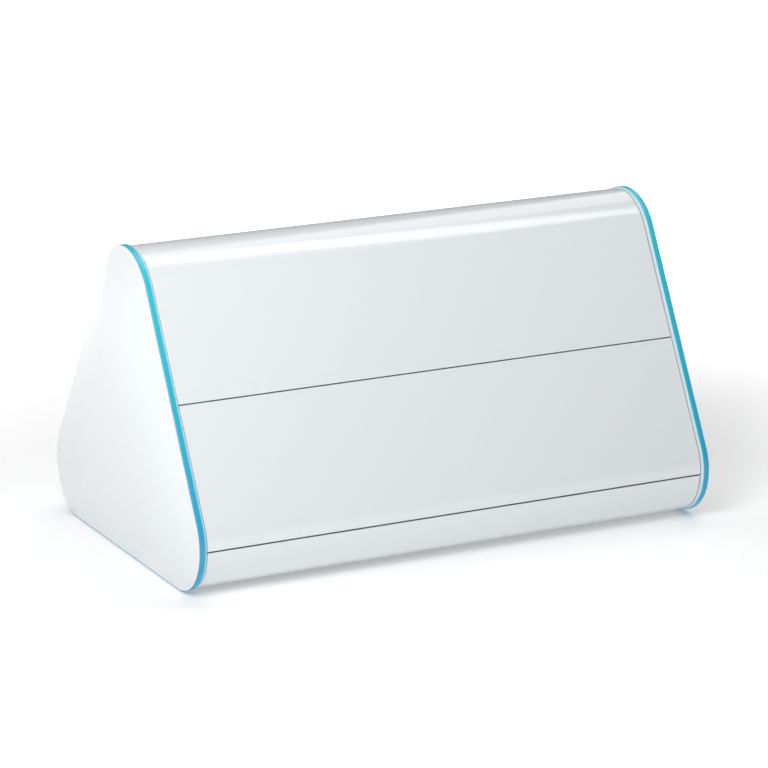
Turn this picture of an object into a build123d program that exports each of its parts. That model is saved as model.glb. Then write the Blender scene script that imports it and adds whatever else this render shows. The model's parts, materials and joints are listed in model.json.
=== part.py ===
from math import acos, atan2, cos, radians, sin, sqrt
import os

from build123d import *

# Wipes dispenser: a rounded triangular prism lying on its long side. Millimetres, +Z up, front is -Y.

# End profile, in the YZ plane: hull of three corner circles (y, z, radius), at the trim ring
RING_BOTTOM = 0.7
FRONT_R = 24.1
REAR_R = 23.9
APEX_R = 26.4
FRONT_CORNER = (-58.4, RING_BOTTOM + FRONT_R)
REAR_CORNER = (58.6, RING_BOTTOM + REAR_R)
APEX_CORNER = (-4.2, 120.0)

# Walls and gaps
SKIN = 0.8
WALL = 2.5
INNER = SKIN + WALL
SEAM = 0.6
FIT = 0.2

# Stations along X, for the right-hand end
SHELL_END = 126.8
FRAME_FACE = SHELL_END + SEAM
RIM_END = FRAME_FACE + 1.3
WEB_END = FRAME_FACE + WALL
RING_END = RIM_END + 2.6
SPIGOT_END = RING_END + 0.9
SKIRT_END = RING_END + 2.1
CAP_TOP = SKIRT_END + 5.2
HOLLOW_TOP = CAP_TOP - 3.0
SPIGOT_INSET = 4.2
SPIGOT_WALL = 2.0
RING_INNER = SPIGOT_INSET - FIT
RING_EDGE = 0.5

# Shallow dome of an end cap: bevels in turn, each with its width on top and its length down the side
DOME_BEVELS = ((6.0, 6.2), (8.0, 7.2), (7.0, 7.0))
HOLLOW_BEVEL = (11.0, 3.4)

# Hinges: pivot set inside the skin, rounded edge and matching relief about it
PIVOT_DEPTH = 4.0
EDGE_SWEEP = 6.4
RELIEF = 6.9
EAR_R = 3.2
PIN_R = 1.5
EAR_BORE = PIN_R + 0.05
EAR_LENGTH = 7.0
EAR_START = SHELL_END - SEAM - EAR_LENGTH
PIN_START = EAR_START - 0.5
PIN_END = RIM_END - 0.3
FLAP_PIVOT_ANGLE = 12.3

# Positions up the sloping front, measured from the lower tangent point
FLAP_TOP = 54.4
COVER_EDGE = FLAP_TOP + SEAM
REAR_SEAM_Z = 84.7
REAR_PIVOT_UP = 5.3

# Ribs inside the cover: places along X, depth and lowest height
COVER_RIBS = (-84.0, -28.0, 28.0, 84.0)
COVER_RIB_DEPTH = 4.0
COVER_RIB_LOW = 105.0

# Inner panel, orifice and gasket
PANEL_FRONT = 9.5
PANEL_THICK = 2.5
PANEL_BACK = PANEL_FRONT + PANEL_THICK
PANEL_TOP = 62.0
ORIFICE_V = 26.0
ORIFICE_A = 48.0
ORIFICE_B = 13.0
FLANGE = 4.0
FLANGE_THICK = 1.5
SLOT_LENGTH = 54.0
SLOT_WIDTH = 6.4
GASKET_A = 58.0
GASKET_B = 18.5
GASKET_BAND = 3.0
SEAL_V = FLAP_TOP + 2.6
SEAL_WIDTH = 4.0
SEAL_HALF = EAR_START

# Flap liner and touch latch
LINER_THICK = 1.6
LINER_BACK = WALL + LINER_THICK
LINER_HALF = EAR_START - 7.0
LINER_LOW = 2.0
LINER_HIGH = FLAP_TOP - 1.4
LINER_CORNER = 5.0
LATCH_V = FLAP_TOP - 3.9
STRIKER_THICK = 1.0
STRIKER_WIDTH = 14.0
STRIKER_HEIGHT = 4.6
PLUNGER_R = 2.0
PLUNGER_BORE = 2.3
LATCH_DEPTH = 15.0
LATCH_HEIGHT = 9.0
LATCH_WIDTH = 12.0
LATCH_WALL = 2.0
PLUNGER_REACH = 7.5
SPRING_R = 1.8
SPRING_WALL = 0.5

# Press plate, its weight and its guides
FLOOR_Z = RING_BOTTOM + INNER
PLATE_REST = 8.0
PLATE_THICK = 3.0
PLATE_HALF = FRAME_FACE - 5.4
PLATE_DEPTH = 106.0
PLATE_Y = 4.0
PLATE_CORNER = 10.0
FLOOR_RIBS = 4
FLOOR_RIB_PITCH = 60.0
FLOOR_RIB_LENGTH = 96.0
RIB_THICK = 2.0
GUIDE_START = FRAME_FACE - 8.0
GUIDE_WIDTH = 4.0
GUIDE_TOP = 72.0
GUIDE_CLEAR = 0.5
WEIGHT_LENGTH = 190.0
WEIGHT_DEPTH = 12.0
WEIGHT_THICK = 4.0
WEIGHT_Y = 34.0
HOLE_LENGTH = 110.0
HOLE_DEPTH = 36.0

# Feet and fixings
FOOT_X = SHELL_END - 7.8
FOOT_Y = 45.0
FOOT_R = 7.0
BODY_BOTTOM = RING_BOTTOM + SKIN
BASE_SCREW_R = 1.4
BASE_HEAD_R = 2.8
BASE_HEAD_THICK = 1.4
BASE_SCREW_TOP = 7.4
TAB_START = FRAME_FACE - 14.9
TAB_DEPTH = 14.0
CAP_SCREW_R = 1.25
CAP_HEAD_R = 2.8
CAP_HEAD_THICK = 1.2
CAP_SCREW_END = SKIRT_END
BOSS_R = 4.0
BOSS_END = HOLLOW_TOP + 1.0
BOSS_AT = ((-52.0, 31.0), (52.0, 31.0), (-4.2, 108.0))


# Tangent frame of one sloping side: foot point, up-slope direction and outward normal
def slope_frame(corner, corner_r, side):
    run = APEX_CORNER[0] - corner[0]
    rise = APEX_CORNER[1] - corner[1]
    tilt = atan2(rise, run) + side * (acos((corner_r - APEX_R) / sqrt(run * run + rise * rise)))
    normal = (cos(tilt), sin(tilt))
    up = (side * normal[1], -side * normal[0])
    reach = corner_r - SKIN
    foot = (corner[0] + reach * normal[0], corner[1] + reach * normal[1])
    return foot, up, normal


FRONT_FOOT, FRONT_UP, FRONT_OUT = slope_frame(FRONT_CORNER, FRONT_R, 1)
REAR_FOOT, REAR_UP, REAR_OUT = slope_frame(REAR_CORNER, REAR_R, -1)


# Point on a sloping side, up the slope and out from the skin
def on_slope(foot, up, out, along, outward):
    y = foot[0] + along * up[0] + outward * out[0]
    z = foot[1] + along * up[1] + outward * out[1]
    return (y, z)


def on_front(along, outward):
    return on_slope(FRONT_FOOT, FRONT_UP, FRONT_OUT, along, outward)


REAR_SEAM = (REAR_SEAM_Z - REAR_FOOT[1]) / REAR_UP[1]
COVER_PIVOT = on_slope(REAR_FOOT, REAR_UP, REAR_OUT, REAR_SEAM + REAR_PIVOT_UP, -PIVOT_DEPTH)
PIVOT_REACH = FRONT_R - SKIN - PIVOT_DEPTH
FLAP_PIVOT = (
    FRONT_CORNER[0] - PIVOT_REACH * cos(radians(FLAP_PIVOT_ANGLE)),
    FRONT_CORNER[1] + PIVOT_REACH * sin(radians(FLAP_PIVOT_ANGLE)),
)


# Plane on the front slope: X along the part, Y up the slope, Z outwards
def front_plane(outward):
    foot = on_front(0, outward)
    return Plane(origin=(0, foot[0], foot[1]), x_dir=(1, 0, 0), z_dir=(0, FRONT_OUT[0], FRONT_OUT[1]))


# Hull outline at a parallel inset from the trim ring
def outline(inset):
    corners = ((FRONT_CORNER, FRONT_R), (REAR_CORNER, REAR_R), (APEX_CORNER, APEX_R))
    with BuildSketch(mode=Mode.PRIVATE) as hull:
        for corner, radius in corners:
            with Locations(corner):
                Circle(radius - inset)
        make_hull()
    return hull.sketch_local


# Region of the YZ plane kept by each of the three shells
def region(points, pivots, radius):
    with BuildSketch(mode=Mode.PRIVATE) as kept:
        Polygon(*points, align=None)
        for pivot in pivots:
            with Locations(pivot):
                Circle(radius)
    return kept.sketch_local


FAR = 30.0
REAR_LINE = [
    (COVER_PIVOT[0] - FAR * REAR_OUT[0], COVER_PIVOT[1] - FAR * REAR_OUT[1]),
    (COVER_PIVOT[0] + FAR * REAR_OUT[0], COVER_PIVOT[1] + FAR * REAR_OUT[1]),
]
BASE_REGION = [(-130, -10), (-130, FLAP_PIVOT[1]), (-50, FLAP_PIVOT[1]), *REAR_LINE, (140, -10)]
FLAP_REGION = [
    (-130, FLAP_PIVOT[1]),
    (-50, FLAP_PIVOT[1]),
    on_front(FLAP_TOP, -FAR),
    on_front(FLAP_TOP, FAR),
    (-130, 120),
]
COVER_REGION = [
    on_front(COVER_EDGE, FAR),
    on_front(COVER_EDGE, -FAR),
    *REAR_LINE,
    (90, 170),
    (-120, 170),
]
RIB_REGION = [(-90, COVER_RIB_LOW), (90, COVER_RIB_LOW), (90, 170), (-90, 170)]

# Base shell: front lip, floor and rear wall, with floor ribs and screw holes
with BuildPart() as base_shell:
    with BuildSketch(Plane.YZ.offset(-SHELL_END)):
        add(outline(SKIN))
        add(outline(INNER), mode=Mode.SUBTRACT)
        add(region(BASE_REGION, [], 0), mode=Mode.INTERSECT)
        with Locations(FLAP_PIVOT, COVER_PIVOT):
            Circle(RELIEF, mode=Mode.SUBTRACT)
    extrude(amount=2 * SHELL_END)
    with BuildSketch(Plane.XY.offset(FLOOR_Z)):
        with GridLocations(FLOOR_RIB_PITCH, 0, FLOOR_RIBS, 1):
            Rectangle(RIB_THICK, FLOOR_RIB_LENGTH)
    extrude(amount=PLATE_REST - FLOOR_Z)
    with BuildSketch(Plane.XY.offset(BODY_BOTTOM)):
        with GridLocations(2 * FOOT_X, 2 * FOOT_Y, 2, 2):
            Circle(BASE_HEAD_R + FIT)
    extrude(amount=BASE_HEAD_THICK, mode=Mode.SUBTRACT)
    with BuildSketch(Plane.XY.offset(BODY_BOTTOM)):
        with GridLocations(2 * FOOT_X, 2 * FOOT_Y, 2, 2):
            Circle(BASE_SCREW_R + FIT)
    extrude(amount=WALL, mode=Mode.SUBTRACT)
base_shell.part.label = "base_shell"


# Round bars about a pivot, alike at both ends
def end_bars(pivot, radius, start, length):
    with BuildPart(mode=Mode.PRIVATE) as bars:
        for side in (1, -1):
            with BuildSketch(Plane.YZ.offset(side * start)):
                with Locations(pivot):
                    Circle(radius)
            extrude(amount=side * length)
    return bars.part


# Front flap: drops forward about the pins near its lower edge
with BuildPart() as front_flap:
    with BuildSketch(Plane.YZ.offset(-SHELL_END)):
        add(outline(SKIN))
        add(outline(INNER), mode=Mode.SUBTRACT)
        add(region(FLAP_REGION, [FLAP_PIVOT], EDGE_SWEEP), mode=Mode.INTERSECT)
    extrude(amount=2 * SHELL_END)
    add(end_bars(FLAP_PIVOT, EAR_R, EAR_START, EAR_LENGTH))
    add(end_bars(FLAP_PIVOT, EAR_BORE, 0, SHELL_END), mode=Mode.SUBTRACT)
front_flap.part.label = "front_flap"

# Top cover: apex and upper front panel, lifts about the rear pins for refilling
with BuildPart() as top_cover:
    with BuildSketch(Plane.YZ.offset(-SHELL_END)):
        add(outline(SKIN))
        add(outline(INNER), mode=Mode.SUBTRACT)
        add(region(COVER_REGION, [COVER_PIVOT], EDGE_SWEEP), mode=Mode.INTERSECT)
    extrude(amount=2 * SHELL_END)
    for rib_x in COVER_RIBS:
        with BuildSketch(Plane.YZ.offset(rib_x - RIB_THICK / 2)):
            add(outline(INNER - FIT))
            add(outline(INNER + COVER_RIB_DEPTH), mode=Mode.SUBTRACT)
            add(region(RIB_REGION, [], 0), mode=Mode.INTERSECT)
        extrude(amount=RIB_THICK)
    add(end_bars(COVER_PIVOT, EAR_R, EAR_START, EAR_LENGTH))
    add(end_bars(COVER_PIVOT, EAR_BORE, 0, SHELL_END), mode=Mode.SUBTRACT)
top_cover.part.label = "top_cover"

# Flap liner: stiffens the flap and meets the gasket
with BuildPart() as flap_liner:
    with BuildSketch(front_plane(-LINER_BACK)):
        with Locations((0, (LINER_LOW + LINER_HIGH) / 2)):
            RectangleRounded(2 * LINER_HALF, LINER_HIGH - LINER_LOW, LINER_CORNER)
    extrude(amount=LINER_THICK)
flap_liner.part.label = "flap_liner"

# Striker pad on the liner, in front of the latch plunger
with BuildPart() as latch_striker:
    with BuildSketch(front_plane(-LINER_BACK - STRIKER_THICK)):
        with Locations((0, LATCH_V - 0.5)):
            Rectangle(STRIKER_WIDTH, STRIKER_HEIGHT)
    extrude(amount=STRIKER_THICK)
latch_striker.part.label = "latch_striker"

# Dispensing panel: sloping plate with a foot down to the floor and an oval cut-out
LEG_FRONT = on_front(0, -PANEL_FRONT)[0]
LEG_BACK = LEG_FRONT + PANEL_THICK
KNEE = (LEG_BACK - on_front(0, -PANEL_BACK)[0]) / FRONT_UP[0]
PANEL_PROFILE = [
    on_front(PANEL_TOP, -PANEL_FRONT),
    on_front(0, -PANEL_FRONT),
    (LEG_FRONT, 0),
    (LEG_BACK, 0),
    on_front(KNEE, -PANEL_BACK),
    on_front(PANEL_TOP, -PANEL_BACK),
]
with BuildPart() as dispensing_panel:
    with BuildSketch(Plane.YZ.offset(-FRAME_FACE)):
        Polygon(*PANEL_PROFILE, align=None)
        add(outline(INNER + FIT), mode=Mode.INTERSECT)
    extrude(amount=2 * FRAME_FACE)
    with BuildSketch(front_plane(-PANEL_FRONT)):
        with Locations((0, ORIFICE_V)):
            Ellipse(ORIFICE_A, ORIFICE_B)
        with Locations((0, LATCH_V)):
            Circle(PLUNGER_BORE)
    extrude(amount=-2 * PANEL_THICK, mode=Mode.SUBTRACT)
dispensing_panel.part.label = "dispensing_panel"

# Soft orifice: flange on the panel, plug through it, slot for the wipe
with BuildPart() as orifice_membrane:
    with BuildSketch(front_plane(-PANEL_FRONT)):
        with Locations((0, ORIFICE_V)):
            Ellipse(ORIFICE_A + FLANGE, ORIFICE_B + FLANGE)
    extrude(amount=FLANGE_THICK)
    with BuildSketch(front_plane(-PANEL_FRONT)):
        with Locations((0, ORIFICE_V)):
            Ellipse(ORIFICE_A - FIT, ORIFICE_B - FIT)
    extrude(amount=-PANEL_THICK)
    with BuildSketch(front_plane(-PANEL_BACK)):
        with Locations((0, ORIFICE_V)):
            SlotOverall(SLOT_LENGTH, SLOT_WIDTH)
            Ellipse(ORIFICE_A / 4, SLOT_WIDTH)
    extrude(amount=PANEL_THICK + FLANGE_THICK, mode=Mode.SUBTRACT)
orifice_membrane.part.label = "orifice_membrane"

# Gasket ring around the orifice, just short of the liner
with BuildPart() as flap_gasket:
    with BuildSketch(front_plane(-PANEL_FRONT)):
        with Locations((0, ORIFICE_V)):
            Ellipse(GASKET_A + GASKET_BAND, GASKET_B + GASKET_BAND)
            Ellipse(GASKET_A, GASKET_B, mode=Mode.SUBTRACT)
    extrude(amount=PANEL_FRONT - LINER_BACK - FIT)
flap_gasket.part.label = "flap_gasket"

# Seal strip under the front edge of the cover
with BuildPart() as cover_seal:
    with BuildSketch(front_plane(-PANEL_FRONT)):
        with Locations((0, SEAL_V + SEAL_WIDTH / 2)):
            Rectangle(2 * SEAL_HALF, SEAL_WIDTH)
    extrude(amount=PANEL_FRONT - WALL - FIT)
cover_seal.part.label = "cover_seal"

# Touch latch: body behind the panel, blind bore for plunger and spring
with BuildPart() as latch_body:
    with BuildSketch(front_plane(-PANEL_BACK)):
        with Locations((0, LATCH_V)):
            RectangleRounded(LATCH_WIDTH, LATCH_HEIGHT, 1.5)
    extrude(amount=-LATCH_DEPTH)
    with BuildSketch(front_plane(-PANEL_BACK)):
        with Locations((0, LATCH_V)):
            Circle(PLUNGER_BORE)
    extrude(amount=LATCH_WALL - LATCH_DEPTH, mode=Mode.SUBTRACT)
latch_body.part.label = "latch_body"

PLUNGER_TIP = LINER_BACK + STRIKER_THICK + FIT
PLUNGER_BACK = PANEL_BACK + PLUNGER_REACH
with BuildPart() as latch_plunger:
    with BuildSketch(front_plane(-PLUNGER_TIP)):
        with Locations((0, LATCH_V)):
            Circle(PLUNGER_R)
    extrude(amount=PLUNGER_TIP - PLUNGER_BACK)
    chamfer(latch_plunger.faces().sort_by(Axis.Z)[-1].edges(), 0.6)
latch_plunger.part.label = "latch_plunger"

# Coil spring behind the plunger, as a plain sleeve of the coil's size
SPRING_BACK = PANEL_BACK + LATCH_DEPTH - LATCH_WALL
with BuildPart() as latch_spring:
    with BuildSketch(front_plane(-SPRING_BACK)):
        with Locations((0, LATCH_V)):
            Circle(SPRING_R)
            Circle(SPRING_R - SPRING_WALL, mode=Mode.SUBTRACT)
    extrude(amount=SPRING_BACK - PLUNGER_BACK)
latch_spring.part.label = "latch_spring"

# Hinge pins, standing in the two end frames
with BuildPart() as flap_hinge_pins:
    add(end_bars(FLAP_PIVOT, PIN_R, PIN_START, PIN_END - PIN_START))
flap_hinge_pins.part.label = "flap_hinge_pins"

with BuildPart() as cover_hinge_pins:
    add(end_bars(COVER_PIVOT, PIN_R, PIN_START, PIN_END - PIN_START))
cover_hinge_pins.part.label = "cover_hinge_pins"

# Right end frame: rim strip, web, spigot, plate guide, panel rib and screw tabs
with BuildPart() as right_end_frame:
    with BuildSketch(Plane.YZ.offset(FRAME_FACE)):
        add(outline(SKIN))
    extrude(amount=RIM_END - FRAME_FACE)
    with BuildSketch(Plane.YZ.offset(RIM_END)):
        add(outline(SPIGOT_INSET))
    extrude(amount=WEB_END - RIM_END)
    with BuildSketch(Plane.YZ.offset(WEB_END)):
        add(outline(SPIGOT_INSET))
        add(outline(SPIGOT_INSET + SPIGOT_WALL), mode=Mode.SUBTRACT)
    extrude(amount=SPIGOT_END - WEB_END)
    with BuildSketch(Plane.XY.offset(FLOOR_Z)):
        with Locations(((GUIDE_START + FRAME_FACE) / 2, PLATE_Y)):
            Rectangle(FRAME_FACE - GUIDE_START, GUIDE_WIDTH)
    extrude(amount=GUIDE_TOP - FLOOR_Z)
    with BuildSketch(Plane.YZ.offset(FRAME_FACE)):
        Polygon(
            on_front(8, -PANEL_BACK),
            on_front(8, -PANEL_BACK - 2),
            on_front(PANEL_TOP, -PANEL_BACK - 2),
            on_front(PANEL_TOP, -PANEL_BACK),
            align=None,
        )
    extrude(amount=-5)
    with BuildSketch(Plane.XY.offset(FLOOR_Z)):
        with Locations(((TAB_START + FRAME_FACE) / 2, -FOOT_Y), ((TAB_START + FRAME_FACE) / 2, FOOT_Y)):
            Rectangle(FRAME_FACE - TAB_START, TAB_DEPTH)
    extrude(amount=PLATE_REST - FLOOR_Z)
    with BuildSketch(Plane.XY.offset(FLOOR_Z)):
        with Locations((FOOT_X, -FOOT_Y), (FOOT_X, FOOT_Y)):
            Circle(BASE_SCREW_R)
    extrude(amount=BASE_SCREW_TOP - FLOOR_Z, mode=Mode.SUBTRACT)
    with BuildSketch(Plane.YZ.offset(FRAME_FACE)):
        with Locations(FLAP_PIVOT, COVER_PIVOT):
            Circle(PIN_R)
    extrude(amount=PIN_END - FRAME_FACE, mode=Mode.SUBTRACT)
    with BuildSketch(Plane.YZ.offset(FRAME_FACE)):
        with Locations(*BOSS_AT):
            Circle(CAP_SCREW_R + FIT)
    extrude(amount=WEB_END - FRAME_FACE, mode=Mode.SUBTRACT)
right_end_frame.part.label = "right_end_frame"

# Right trim ring: soft band, slightly proud, held between frame and cap
with BuildPart() as right_trim_ring:
    with BuildSketch(Plane.YZ.offset(RIM_END)):
        add(outline(0))
    extrude(amount=RING_END - RIM_END)
    chamfer(right_trim_ring.edges().filter_by(Axis.X, reverse=True), RING_EDGE)
    with BuildSketch(Plane.YZ.offset(RIM_END)):
        add(outline(RING_INNER))
    extrude(amount=RING_END - RIM_END, mode=Mode.SUBTRACT)
right_trim_ring.part.label = "right_trim_ring"


# Right end cap: short skirt, shallow bevelled dome, hollow behind, three screw bosses
with BuildPart() as cap_hollow:
    with BuildSketch(Plane.YZ.offset(RING_END)):
        add(outline(RING_INNER))
    extrude(amount=HOLLOW_TOP - RING_END)
    hollow_top = cap_hollow.faces().sort_by(Axis.X)[-1]
    chamfer(hollow_top.edges(), *HOLLOW_BEVEL, reference=hollow_top)

with BuildPart() as right_end_cap:
    with BuildSketch(Plane.YZ.offset(RING_END)):
        add(outline(SKIN))
    extrude(amount=CAP_TOP - RING_END)
    for width, down in DOME_BEVELS:
        cap_top = right_end_cap.faces().sort_by(Axis.X)[-1]
        chamfer(cap_top.edges(), width, down, reference=cap_top)
    add(cap_hollow.part, mode=Mode.SUBTRACT)
    with BuildSketch(Plane.YZ.offset(WEB_END)):
        with Locations(*BOSS_AT):
            Circle(BOSS_R)
    extrude(amount=BOSS_END - WEB_END)
    with BuildSketch(Plane.YZ.offset(WEB_END)):
        with Locations(*BOSS_AT):
            Circle(CAP_SCREW_R)
    extrude(amount=CAP_SCREW_END - WEB_END, mode=Mode.SUBTRACT)
right_end_cap.part.label = "right_end_cap"


# Left-hand twin of a right-hand piece
def left_twin(piece, label):
    with BuildPart() as twin:
        mirror(piece.part, about=Plane.YZ)
    twin.part.label = label
    return twin


left_end_frame = left_twin(right_end_frame, "left_end_frame")
left_trim_ring = left_twin(right_trim_ring, "left_trim_ring")
left_end_cap = left_twin(right_end_cap, "left_end_cap")

# Press plate: keeps the stack flat, slides on the two end guides
with BuildPart() as press_plate:
    with BuildSketch(Plane.XY.offset(PLATE_REST)):
        with Locations((0, PLATE_Y)):
            RectangleRounded(2 * PLATE_HALF, PLATE_DEPTH, PLATE_CORNER)
            SlotOverall(HOLE_LENGTH, HOLE_DEPTH, mode=Mode.SUBTRACT)
        with Locations((-PLATE_HALF, PLATE_Y), (PLATE_HALF, PLATE_Y)):
            Rectangle(
                2 * (PLATE_HALF - GUIDE_START + GUIDE_CLEAR),
                GUIDE_WIDTH + 2 * GUIDE_CLEAR,
                mode=Mode.SUBTRACT,
            )
    extrude(amount=PLATE_THICK)
press_plate.part.label = "press_plate"

# Two steel bars on the plate
with BuildPart() as plate_weight:
    with BuildSketch(Plane.XY.offset(PLATE_REST + PLATE_THICK)):
        with Locations((0, PLATE_Y - WEIGHT_Y), (0, PLATE_Y + WEIGHT_Y)):
            SlotOverall(WEIGHT_LENGTH, WEIGHT_DEPTH)
    extrude(amount=WEIGHT_THICK)
plate_weight.part.label = "plate_weight"

# Screws holding the caps, driven from inside the end frames
with BuildPart() as cap_screws:
    for side in (1, -1):
        with BuildSketch(Plane.YZ.offset(side * (FRAME_FACE - CAP_HEAD_THICK))):
            with Locations(*BOSS_AT):
                Circle(CAP_HEAD_R)
        extrude(amount=side * CAP_HEAD_THICK)
        with BuildSketch(Plane.YZ.offset(side * FRAME_FACE)):
            with Locations(*BOSS_AT):
                Circle(CAP_SCREW_R)
        extrude(amount=side * (CAP_SCREW_END - FRAME_FACE))
cap_screws.part.label = "cap_screws"

# Screws through the floor into the frame tabs
with BuildPart() as base_screws:
    with BuildSketch(Plane.XY.offset(BODY_BOTTOM)):
        with GridLocations(2 * FOOT_X, 2 * FOOT_Y, 2, 2):
            Circle(BASE_HEAD_R)
    extrude(amount=BASE_HEAD_THICK)
    with BuildSketch(Plane.XY.offset(BODY_BOTTOM + BASE_HEAD_THICK)):
        with GridLocations(2 * FOOT_X, 2 * FOOT_Y, 2, 2):
            Circle(BASE_SCREW_R)
    extrude(amount=BASE_SCREW_TOP - BODY_BOTTOM - BASE_HEAD_THICK)
base_screws.part.label = "base_screws"

# Rubber feet, over the base screws
with BuildPart() as rubber_feet:
    with BuildSketch(Plane.XY):
        with GridLocations(2 * FOOT_X, 2 * FOOT_Y, 2, 2):
            Circle(FOOT_R)
    extrude(amount=BODY_BOTTOM)
rubber_feet.part.label = "rubber_feet"

PIECES = (
    base_shell,
    left_end_frame,
    right_end_frame,
    left_trim_ring,
    right_trim_ring,
    left_end_cap,
    right_end_cap,
    dispensing_panel,
    orifice_membrane,
    flap_gasket,
    cover_seal,
    latch_body,
    latch_spring,
    latch_plunger,
    flap_hinge_pins,
    cover_hinge_pins,
    cap_screws,
    base_screws,
    rubber_feet,
    front_flap,
    flap_liner,
    latch_striker,
    top_cover,
    press_plate,
    plate_weight,
)

os.makedirs("parts", exist_ok=True)
for piece in PIECES:
    export_step(piece.part, f"parts/{piece.part.label}.step")
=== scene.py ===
import json
from math import acos, atan2, cos, pi, radians, sin, sqrt

import bmesh
import bpy
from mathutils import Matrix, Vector


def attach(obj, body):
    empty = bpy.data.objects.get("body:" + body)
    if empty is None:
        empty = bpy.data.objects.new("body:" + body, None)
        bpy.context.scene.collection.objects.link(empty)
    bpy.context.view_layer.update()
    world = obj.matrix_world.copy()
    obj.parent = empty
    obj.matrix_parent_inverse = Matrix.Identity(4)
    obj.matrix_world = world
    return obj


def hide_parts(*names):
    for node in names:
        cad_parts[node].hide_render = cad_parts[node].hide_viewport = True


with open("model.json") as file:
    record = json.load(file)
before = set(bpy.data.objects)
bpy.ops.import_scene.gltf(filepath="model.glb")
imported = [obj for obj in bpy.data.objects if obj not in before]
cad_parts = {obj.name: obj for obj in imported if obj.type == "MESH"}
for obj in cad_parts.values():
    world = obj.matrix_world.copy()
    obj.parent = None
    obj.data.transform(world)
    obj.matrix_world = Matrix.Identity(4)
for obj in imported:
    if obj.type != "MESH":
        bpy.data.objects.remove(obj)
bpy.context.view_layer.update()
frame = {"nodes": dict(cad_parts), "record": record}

# Sizes in millimetres, in the part's frame: X along the length, front is -Y, +Z up
MM = 0.001
RING_BOTTOM = 0.7
FRONT_R = 24.1
REAR_R = 23.9
APEX_R = 26.4
FRONT_CORNER = (-58.4, RING_BOTTOM + FRONT_R)
REAR_CORNER = (58.6, RING_BOTTOM + REAR_R)
APEX_CORNER = (-4.2, 120.0)
SKIN = 0.8
WALL = 2.5
SHELL_END = 127.0

# Trim rings and end caps
RING_START = 127.9
RING_END = 131.3
RING_INNER = 4.0
RING_ROUND = 0.7
CAP_INSET = 0.15
CAP_ROUND = 0.35
DOME_CENTRE = (0.0, 58.0)
DOME_TOP = 138.55
DOME_POWER = 3.0

# Flap and cover, with their pivots
PIVOT_DEPTH = 4.0
EDGE_SWEEP = 6.4
RELIEF = 6.9
EAR_R = 3.2
EAR_START = 119.2
EAR_END = 126.2
FLAP_PIVOT_ANGLE = radians(167.7)
FLAP_TOP = 54.4
COVER_EDGE = 55.0
REAR_SEAM_Z = 84.7
REAR_PIVOT_UP = 5.3

# Ribs under the cover and on the floor
RIB_THICK = 2.0
RIB_ROOT = 0.2
COVER_RIBS = (-84.0, -28.0, 28.0, 84.0)
COVER_RIB_DEPTH = 4.0
COVER_RIB_LOW = radians(55)
COVER_RIB_HIGH = radians(125)
FLOOR_RIBS = (-90.0, -30.0, 30.0, 90.0)
FLOOR_RIB_HALF = 48.0
FLOOR_RIB_TOP = 8.0

# Fineness of the curves
ARC_STEPS = 48
RIB_STEPS = 24
ROUND_STEPS = 6
DOME_STEPS = 26
EDGE_ROUND = 0.3
EDGE_SEGMENTS = 4
SHARP = radians(35)


# Angle of the outward normal of a sloping side, between a lower corner and the apex
def slope_tilt(corner, radius, side):
    run = APEX_CORNER[0] - corner[0]
    rise = APEX_CORNER[1] - corner[1]
    return atan2(rise, run) + side * acos((radius - APEX_R) / sqrt(run * run + rise * rise))


FRONT_TILT = slope_tilt(FRONT_CORNER, FRONT_R, 1)
REAR_TILT = slope_tilt(REAR_CORNER, REAR_R, -1)
DOWN = -pi / 2


def around(centre, radius, angle):
    return (centre[0] + radius * cos(angle), centre[1] + radius * sin(angle))


def arc(centre, radius, start, end, steps=ARC_STEPS):
    return [around(centre, radius, start + (end - start) * k / steps) for k in range(steps + 1)]


# Point on a slope: along it from the lower tangent point, and in from the skin
def on_slope(corner, radius, tilt, side, along, depth):
    foot = around(corner, radius - SKIN - depth, tilt)
    return (foot[0] + side * along * sin(tilt), foot[1] - side * along * cos(tilt))


def on_front(along, depth):
    return on_slope(FRONT_CORNER, FRONT_R, FRONT_TILT, 1, along, depth)


def on_rear(along, depth):
    return on_slope(REAR_CORNER, REAR_R, REAR_TILT, -1, along, depth)


REAR_PIVOT = (REAR_SEAM_Z - on_rear(0, 0)[1]) / cos(REAR_TILT) + REAR_PIVOT_UP
COVER_PIVOT = on_rear(REAR_PIVOT, PIVOT_DEPTH)
FLAP_PIVOT = around(FRONT_CORNER, FRONT_R - SKIN - PIVOT_DEPTH, FLAP_PIVOT_ANGLE)


# Angle on the front corner where a circle about the flap's pivot meets a depth in the wall
def lip_angle(depth, sweep):
    reach = FRONT_R - SKIN - PIVOT_DEPTH
    radius = FRONT_R - SKIN - depth
    return FLAP_PIVOT_ANGLE + acos((reach * reach + radius * radius - sweep * sweep) / (2 * reach * radius))


# Point of the rear slope where a circle about the cover's pivot meets a depth in the wall
def rear_edge(depth, sweep):
    drop = sqrt(sweep * sweep - (PIVOT_DEPTH - depth) ** 2)
    return on_rear(REAR_PIVOT - drop, depth)


# Outlines of the three shells' walls at one depth, from edge to edge
def flap_line(depth):
    line = arc(FRONT_CORNER, FRONT_R - SKIN - depth, lip_angle(depth, EDGE_SWEEP), FRONT_TILT)
    return line + [on_front(FLAP_TOP, depth)]


def cover_line(depth):
    apex = arc(APEX_CORNER, APEX_R - SKIN - depth, FRONT_TILT, REAR_TILT)
    return [on_front(COVER_EDGE, depth)] + apex + [rear_edge(depth, EDGE_SWEEP)]


def base_line(depth):
    rear = arc(REAR_CORNER, REAR_R - SKIN - depth, REAR_TILT, DOWN)
    front = arc(FRONT_CORNER, FRONT_R - SKIN - depth, DOWN + 2 * pi, lip_angle(depth, RELIEF))
    return [rear_edge(depth, RELIEF)] + rear + front


def band(line):
    return line(0) + line(WALL)[::-1]


def disc(centre, radius):
    return arc(centre, radius, 0, 2 * pi)[:-1]


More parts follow.
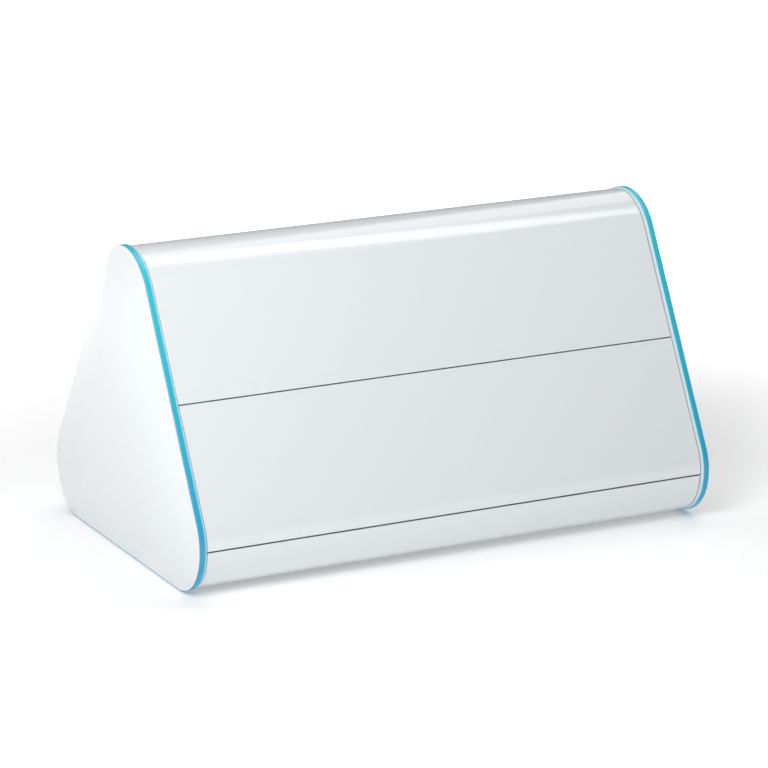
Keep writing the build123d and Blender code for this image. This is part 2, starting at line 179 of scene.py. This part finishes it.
def rectangle(low, high):
    return [(low[0], low[1]), (high[0], low[1]), (high[0], high[1]), (low[0], high[1])]


# Closed outline of the end profile at a parallel inset, drawn in towards the dome's centre
def outline(inset, shrink=1.0):
    loop = arc(FRONT_CORNER, FRONT_R - inset, DOWN + 2 * pi, FRONT_TILT)
    loop += arc(APEX_CORNER, APEX_R - inset, FRONT_TILT, REAR_TILT)
    loop += arc(REAR_CORNER, REAR_R - inset, REAR_TILT, DOWN)
    centre_y, centre_z = DOME_CENTRE
    return [(centre_y + shrink * (y - centre_y), centre_z + shrink * (z - centre_z)) for y, z in loop]


# Prism along X: an outline in YZ with its two ends
def add_prism(mesh, shape, start, end):
    rows = []
    for x in (start, end):
        rows.append([mesh.verts.new((x * MM, y * MM, z * MM)) for y, z in shape])
    count = len(shape)
    for k in range(count):
        mesh.faces.new((rows[0][k], rows[0][(k + 1) % count], rows[1][(k + 1) % count], rows[1][k]))
    mesh.faces.new(rows[0])
    mesh.faces.new(rows[1])


def prisms(parts):
    mesh = bmesh.new()
    for shape, start, end in parts:
        add_prism(mesh, shape, start, end)
    return mesh


# Surface through loops at rising X, on one end; side is 1 on the right and -1 on the left
def lofted(loops, side, closed_ring):
    mesh = bmesh.new()
    rows = []
    for x, loop in loops:
        rows.append([mesh.verts.new((side * x * MM, y * MM, z * MM)) for y, z in loop])
    pairs = list(zip(rows, rows[1:]))
    if closed_ring:
        pairs.append((rows[-1], rows[0]))
    count = len(rows[0])
    for low, high in pairs:
        for k in range(count):
            mesh.faces.new((low[k], low[(k + 1) % count], high[(k + 1) % count], high[k]))
    if not closed_ring:
        mesh.faces.new(rows[-1])
        mesh.faces.new(rows[0])
    return mesh


# Trim ring: soft band with rounded shoulders, which covers the frame's rim
def ring_loops():
    loops = [(RING_START, outline(RING_INNER))]
    for edge, inward, start in ((RING_START, 1, pi), (RING_END, -1, pi / 2)):
        for k in range(ROUND_STEPS + 1):
            turn = start - pi / 2 * k / ROUND_STEPS
            across = edge + inward * RING_ROUND + RING_ROUND * cos(turn)
            loops.append((across, outline(RING_ROUND * (1 - sin(turn)))))
    loops.append((RING_END, outline(RING_INNER)))
    return loops


# End cap: a fine rounded edge beside the ring, and a shallow dome
def cap_loops():
    loops = [(RING_END, outline(RING_INNER))]
    for k in range(ROUND_STEPS + 1):
        turn = pi / 2 * k / ROUND_STEPS
        inset = CAP_INSET + CAP_ROUND * (1 - cos(turn))
        loops.append((RING_END + CAP_ROUND * sin(turn), outline(inset)))
    foot = RING_END + CAP_ROUND
    for k in range(1, DOME_STEPS):
        shrink = 1 - k / DOME_STEPS
        across = foot + (DOME_TOP - foot) * (1 - shrink**DOME_POWER)
        loops.append((across, outline(CAP_INSET + CAP_ROUND, shrink)))
    return loops


# Surface of the plastics: noise per metre, heights in metres, and spreads as shares of a value
CLOUD_SCALE = 9.0
CLOUD_DETAIL = 3.0
CLOUD_DARK = 0.985
GLOSS_SPREAD = (0.85, 1.15)
GRAIN_SCALE = 1400.0
GRAIN_DETAIL = 2.0
GRAIN_HEIGHT = 0.0002
COAT_ROUGHNESS = 0.11
UNIT = (0.0, 1.0)

# Colours of the finishes, and of the trim: darker low and lighter high as painted light from above, and a
# painted highlight on its inner shoulder
SHELL_COLOUR = (0.775, 0.81, 0.83)
FRAME_COLOUR = (0.74, 0.755, 0.77)
SEAL_COLOUR = (0.17, 0.47, 0.62)
RUBBER_COLOUR = (0.10, 0.105, 0.11)
FLOOR_COLOUR = (0.93, 0.93, 0.93)
# Trim colours for painted light from above: darker low, lighter and greener high
TRIM_SHADED_LOW = (0.02, 0.36, 0.60)
TRIM_LIT_HIGH = (0.04, 0.51, 0.61)
# Painted highlight: pale colour along the trim's inner shoulder
TRIM_PAINTED_HIGHLIGHT = (0.50, 0.82, 0.90)
TRIM_ROUGHNESS = 0.34
TRIM_TEXTURE = 0.05
# Heights over which the trim's painted light from above rises
TRIM_LIGHT_HEIGHTS = (20.0 * MM, 146.0 * MM)
# Band across X where the trim's painted highlight lies
TRIM_HIGHLIGHT_BAND = ((RING_START + 0.2) * MM, (RING_START + 0.9) * MM)

# Drawn steel, brushed along X
STEEL_COLOUR = (0.55, 0.56, 0.58)
STEEL_STRETCH = (40, 900, 900)
STEEL_ROUGHNESS = (0.22, 0.42)


# A value carried from one span to another
def ranged(tree, value, source, target):
    node = tree.nodes.new("ShaderNodeMapRange")
    for socket, number in zip(("From Min", "From Max", "To Min", "To Max"), (*source, *target)):
        node.inputs[socket].default_value = number
    tree.links.new(value, node.inputs["Value"])
    return node.outputs["Result"]


# Colour between a low and a high one, by a factor
def mixed(tree, factor, low, high):
    node = tree.nodes.new("ShaderNodeMix")
    node.data_type = "RGBA"
    node.inputs["A"].default_value = (*low, 1)
    node.inputs["B"].default_value = (*high, 1)
    tree.links.new(factor, node.inputs["Factor"])
    return node


def new_material(name):
    material = bpy.data.materials.new(name)
    material.use_nodes = True
    tree = material.node_tree
    place = tree.nodes.new("ShaderNodeTexCoord").outputs["Object"]
    return material, tree, place, tree.nodes["Principled BSDF"]


def noise(tree, place, scale, detail):
    node = tree.nodes.new("ShaderNodeTexNoise")
    node.inputs["Scale"].default_value = scale
    node.inputs["Detail"].default_value = detail
    tree.links.new(place, node.inputs["Vector"])
    return node.outputs["Fac"]


# Moulded plastic: faint cloudiness in colour, uneven gloss and fine surface texture
def plastic(name, colour, roughness, coat=0.0, texture=0.0):
    material, tree, place, shader = new_material(name)
    cloud = noise(tree, place, CLOUD_SCALE, CLOUD_DETAIL)
    tint = mixed(tree, cloud, [c * CLOUD_DARK for c in colour], colour)
    tree.links.new(tint.outputs["Result"], shader.inputs["Base Color"])
    gloss = ranged(tree, cloud, UNIT, [roughness * share for share in GLOSS_SPREAD])
    tree.links.new(gloss, shader.inputs["Roughness"])
    bump = tree.nodes.new("ShaderNodeBump")
    bump.inputs["Strength"].default_value = texture
    bump.inputs["Distance"].default_value = GRAIN_HEIGHT
    tree.links.new(noise(tree, place, GRAIN_SCALE, GRAIN_DETAIL), bump.inputs["Height"])
    tree.links.new(bump.outputs["Normal"], shader.inputs["Normal"])
    shader.inputs["Coat Weight"].default_value = coat
    shader.inputs["Coat Roughness"].default_value = COAT_ROUGHNESS
    return material


# Trim plastic: lighter and greener towards the top as painted light from above, and a painted highlight
# along the inner shoulder
def trim_plastic_painted_light(name):
    material = plastic(name, TRIM_SHADED_LOW, TRIM_ROUGHNESS, texture=TRIM_TEXTURE)
    tree = material.node_tree
    place = tree.nodes.new("ShaderNodeTexCoord")
    split = tree.nodes.new("ShaderNodeSeparateXYZ")
    tree.links.new(place.outputs["Object"], split.inputs["Vector"])
    across = tree.nodes.new("ShaderNodeMath")
    across.operation = "ABSOLUTE"
    tree.links.new(split.outputs["X"], across.inputs[0])
    # Painted light from above: the trim's colour goes lighter and greener towards the top
    painted_top_light = mixed(tree, ranged(tree, split.outputs["Z"], TRIM_LIGHT_HEIGHTS, UNIT), TRIM_SHADED_LOW, TRIM_LIT_HIGH)
    # Painted highlight: the inner shoulder is mixed towards a pale colour
    highlight_mask = ranged(tree, across.outputs["Value"], TRIM_HIGHLIGHT_BAND, UNIT)
    edge = mixed(tree, highlight_mask, TRIM_PAINTED_HIGHLIGHT, TRIM_SHADED_LOW)
    tree.links.new(painted_top_light.outputs["Result"], edge.inputs["B"])
    tree.links.new(edge.outputs["Result"], tree.nodes["Principled BSDF"].inputs["Base Color"])
    return material


def steel(name):
    material, tree, place, shader = new_material(name)
    shader.inputs["Base Color"].default_value = (*STEEL_COLOUR, 1)
    shader.inputs["Metallic"].default_value = 1.0
    stretch = tree.nodes.new("ShaderNodeMapping")
    stretch.inputs["Scale"].default_value = STEEL_STRETCH
    tree.links.new(place, stretch.inputs["Vector"])
    brush = noise(tree, stretch.outputs["Vector"], 1.0, 2.0)
    tree.links.new(ranged(tree, brush, UNIT, STEEL_ROUGHNESS), shader.inputs["Roughness"])
    return material


MATERIALS = {
    "shell_white": plastic("shell_white_gloss", SHELL_COLOUR, 0.17, coat=0.3, texture=0.02),
    "frame_white": plastic("frame_white_satin", FRAME_COLOUR, 0.38, texture=0.06),
    "trim_blue": trim_plastic_painted_light("trim_blue_painted_light"),
    "soft_seal": plastic("seal_soft", SEAL_COLOUR, 0.5, texture=0.08),
    "foot_rubber": plastic("foot_rubber", RUBBER_COLOUR, 0.7, texture=0.15),
    "steel": steel("steel_drawn"),
}

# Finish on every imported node, by its slot
for entry in frame["record"]["subparts"]:
    node = frame["nodes"][entry["node"]]
    for socket in node.material_slots:
        socket.link = "OBJECT"
        socket.material = MATERIALS[entry["material_slot"]]


# Object from a bmesh, in metres, smooth except across real edges
def finished(name, mesh, body, slot, bevel=EDGE_ROUND):
    bmesh.ops.recalc_face_normals(mesh, faces=mesh.faces)
    for face in mesh.faces:
        face.smooth = True
    for edge in mesh.edges:
        if len(edge.link_faces) == 2 and edge.calc_face_angle(0) > SHARP:
            edge.smooth = False
    data = bpy.data.meshes.new(name)
    mesh.to_mesh(data)
    mesh.free()
    piece = bpy.data.objects.new(name, data)
    bpy.context.scene.collection.objects.link(piece)
    data.materials.append(MATERIALS[slot])
    if bevel:
        rounding = piece.modifiers.new("edge", "BEVEL")
        rounding.width = bevel * MM
        rounding.segments = EDGE_SEGMENTS
        rounding.limit_method = "ANGLE"
        rounding.angle_limit = SHARP
        rounding.harden_normals = True
    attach(piece, body)
    return piece


# Small parts of the shells: pivot ears at both ends, and ribs
def ears(pivot):
    return [(disc(pivot, EAR_R), EAR_START, EAR_END), (disc(pivot, EAR_R), -EAR_END, -EAR_START)]


def ribs(shape, places):
    return [(shape, x - RIB_THICK / 2, x + RIB_THICK / 2) for x in places]


def cover_rib():
    root = APEX_R - SKIN - WALL + RIB_ROOT
    tip = APEX_R - SKIN - WALL - COVER_RIB_DEPTH
    outer = arc(APEX_CORNER, root, COVER_RIB_HIGH, COVER_RIB_LOW, RIB_STEPS)
    return outer + arc(APEX_CORNER, tip, COVER_RIB_LOW, COVER_RIB_HIGH, RIB_STEPS)


def floor_rib():
    root = RING_BOTTOM + SKIN + WALL - RIB_ROOT
    return rectangle((-FLOOR_RIB_HALF, root), (FLOOR_RIB_HALF, FLOOR_RIB_TOP))


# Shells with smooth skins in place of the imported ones
SHELLS = (
    ("flap_skin", flap_line, ears(FLAP_PIVOT), "flap", "front_flap"),
    ("cover_skin", cover_line, ears(COVER_PIVOT) + ribs(cover_rib(), COVER_RIBS), "cover", "top_cover"),
    ("base_skin", base_line, ribs(floor_rib(), FLOOR_RIBS), "housing", "base_shell"),
)
for name, line, extras, body, replaced in SHELLS:
    parts = [(band(line), -SHELL_END, SHELL_END)] + extras
    shell = finished(name, prisms(parts), body, "shell_white")
    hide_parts(replaced)

# Trim ring and cap on each end
for side, end in ((1, "right"), (-1, "left")):
    ring = finished(f"{end}_trim", lofted(ring_loops(), side, True), "housing", "trim_blue", bevel=0)
    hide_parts(f"{end}_trim_ring")
    cap = finished(f"{end}_cap", lofted(cap_loops(), side, False), "housing", "shell_white", bevel=0)
    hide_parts(f"{end}_end_cap")

# Light levels: the surroundings from low to high along each axis, and the floor's own by distance
WORLD_SIDES = (1.0, 0.3)
WORLD_DEPTHS = (0.7, 0.3)
WORLD_HEIGHTS = (1.2, 0.6)
ALL_WAYS = (-1.0, 1.0)
FLOOR_SIZE = 12.0
FLOOR_ROUGHNESS = 0.9
FLOOR_GLOW = (0.18, 0.8)
FLOOR_GLOW_SPAN = (0.2, 0.6)

# Soft boxes: place, point aimed at, width and height in metres, power in watts
SOFTBOXES = {
    "front_left_box": ((-0.5, -0.45, 0.6), (0.0, 0.0, 0.06), (0.4, 0.4), 4.0),
    "top_box": ((0.3, 0.25, 1.3), (0.0, 0.0, 0.08), (1.6, 0.3), 6.0),
    "back_right_box": ((0.95, 0.8, 1.3), (0.0, 0.0, 0.1), (0.6, 1.1), 3.2),
}


# Pale floor that glows more away from the object
def pale_floor(name):
    material = plastic(name, FLOOR_COLOUR, FLOOR_ROUGHNESS)
    tree = material.node_tree
    shader = tree.nodes["Principled BSDF"]
    shader.inputs["Emission Color"].default_value = (1, 1, 1, 1)
    place = tree.nodes.new("ShaderNodeTexCoord")
    reach = tree.nodes.new("ShaderNodeVectorMath")
    reach.operation = "LENGTH"
    tree.links.new(place.outputs["Object"], reach.inputs[0])
    glow = ranged(tree, reach.outputs["Value"], FLOOR_GLOW_SPAN, FLOOR_GLOW)
    tree.links.new(glow, shader.inputs["Emission Strength"])
    return material


bpy.ops.mesh.primitive_plane_add(size=FLOOR_SIZE)
floor = bpy.context.object
floor.name = "floor"
floor.data.materials.append(pale_floor("floor_pale"))


# Studio: brighter on the left, at the front and low down
def product(tree, first, second):
    times = tree.nodes.new("ShaderNodeMath")
    times.operation = "MULTIPLY"
    tree.links.new(first, times.inputs[0])
    tree.links.new(second, times.inputs[1])
    return times.outputs["Value"]


world = bpy.data.worlds.new("studio")
bpy.context.scene.world = world
world.use_nodes = True
studio = world.node_tree
way = studio.nodes.new("ShaderNodeTexCoord")
split = studio.nodes.new("ShaderNodeSeparateXYZ")
studio.links.new(way.outputs["Generated"], split.inputs["Vector"])
sides = ranged(studio, split.outputs["X"], ALL_WAYS, WORLD_SIDES)
depths = ranged(studio, split.outputs["Y"], ALL_WAYS, WORLD_DEPTHS)
heights = ranged(studio, split.outputs["Z"], ALL_WAYS, WORLD_HEIGHTS)
level = product(studio, product(studio, sides, heights), depths)
surroundings = studio.nodes["Background"]
surroundings.inputs["Color"].default_value = (1, 1, 1, 1)
studio.links.new(level, surroundings.inputs["Strength"])


def softbox(name, place, target, size, power):
    lamp = bpy.data.lights.new(name, "AREA")
    lamp.shape = "RECTANGLE"
    lamp.size = size[0]
    lamp.size_y = size[1]
    lamp.energy = power
    holder = bpy.data.objects.new(name, lamp)
    holder.location = place
    holder.rotation_euler = (Vector(target) - Vector(place)).to_track_quat("-Z", "Y").to_euler()
    bpy.context.scene.collection.objects.link(holder)


for name, settings in SOFTBOXES.items():
    softbox(name, *settings)

# Camera at the photo's angle
AZIMUTH = radians(-27.07)
ELEVATION = radians(15.93)
DISTANCE = 1.7506
TARGET = Vector((0.0089, 0.0140, 0.0592))
LENS = 172.5
SENSOR = 36.0
camera_data = bpy.data.cameras.new("camera")
camera_data.lens = LENS
camera_data.sensor_width = SENSOR
camera = bpy.data.objects.new("camera", camera_data)
back = Vector((sin(AZIMUTH) * cos(ELEVATION), -cos(AZIMUTH) * cos(ELEVATION), sin(ELEVATION)))
camera.location = TARGET + back * DISTANCE
camera.rotation_euler = (-back).to_track_quat("-Z", "Y").to_euler()
bpy.context.scene.collection.objects.link(camera)
bpy.context.scene.camera = camera

bpy.context.scene.view_settings.view_transform = "Standard"
